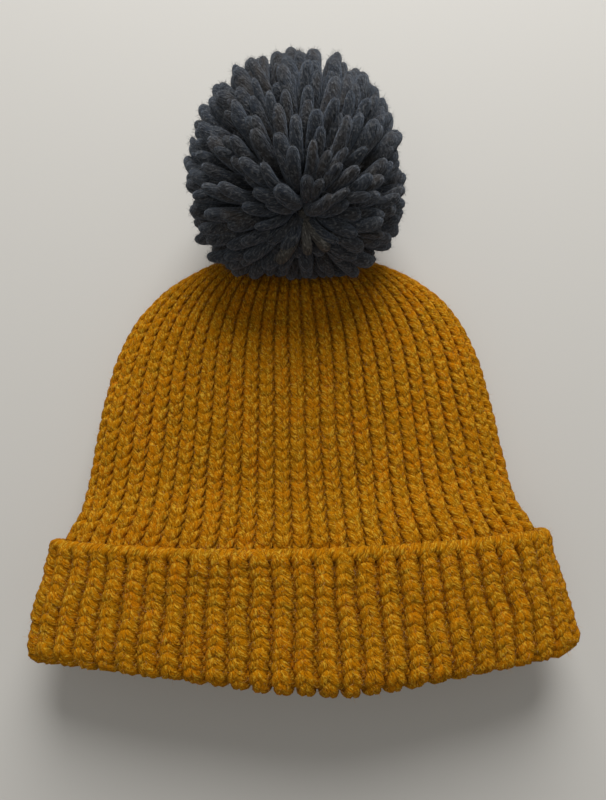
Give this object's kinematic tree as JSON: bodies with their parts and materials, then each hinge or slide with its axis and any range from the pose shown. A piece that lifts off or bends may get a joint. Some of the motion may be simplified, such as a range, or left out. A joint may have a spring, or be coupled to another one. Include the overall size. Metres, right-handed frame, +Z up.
{
  "type": "pom pom beanie",
  "caption": "Rib-knit beanie with a turned-up cuff and a floppy yarn pom pom tied through the gathered crown tip, lying flat on its back.",
  "frame": {"origin": "on the surface that the hat lies on, below the middle of the whole object", "axes": "+Z up, away from the surface the hat lies on; +Y from the mouth to the pom pom; +X to the right as seen from above"},
  "size_m": [0.2484, 0.287, 0.105],
  "materials": {
    "mustard_knit": "soft heathered wool rib knit, matt, fuzzy",
    "mustard_yarn": "plied wool yarn, matt",
    "charcoal_tie": "plied yarn, matt",
    "charcoal_pompom": "soft loose yarn strands with cut rounded ends, matt, fuzzy"
  },
  "bodies": {
    "crown": {"crown_knit": "mustard_knit", "crown_seam_yarn": "mustard_yarn", "gathering_yarn": "mustard_yarn", "anchor_knot": "charcoal_tie", "tether_inner_run": "charcoal_tie"},
    "cuff": {"cuff_knit": "mustard_knit"},
    "tie": {"tether_base_knot": "charcoal_tie"},
    "pompom": {"pompom_tether": "charcoal_tie", "binding_knot": "charcoal_tie", "pompom_binding": "charcoal_tie", "pompom_yarn": "charcoal_pompom"}
  },
  "joints": [
    {"name": "cuff_turn_down", "type": "slide", "parent": "crown", "child": "cuff", "axis": [0, -1, 0], "range_m": [0, 0.03]},
    {"name": "pompom_lean", "type": "hinge", "parent": "crown", "child": "tie", "pos_m": [0, 0.0765, 0.011], "axis": [0, 0, 1], "range_deg": [-25, 25]},
    {"name": "pompom_flop", "type": "hinge", "parent": "tie", "child": "pompom", "pos_m": [0, 0.0765, 0.011], "axis": [1, 0, 0], "range_deg": [-100, 0]}
  ]
}
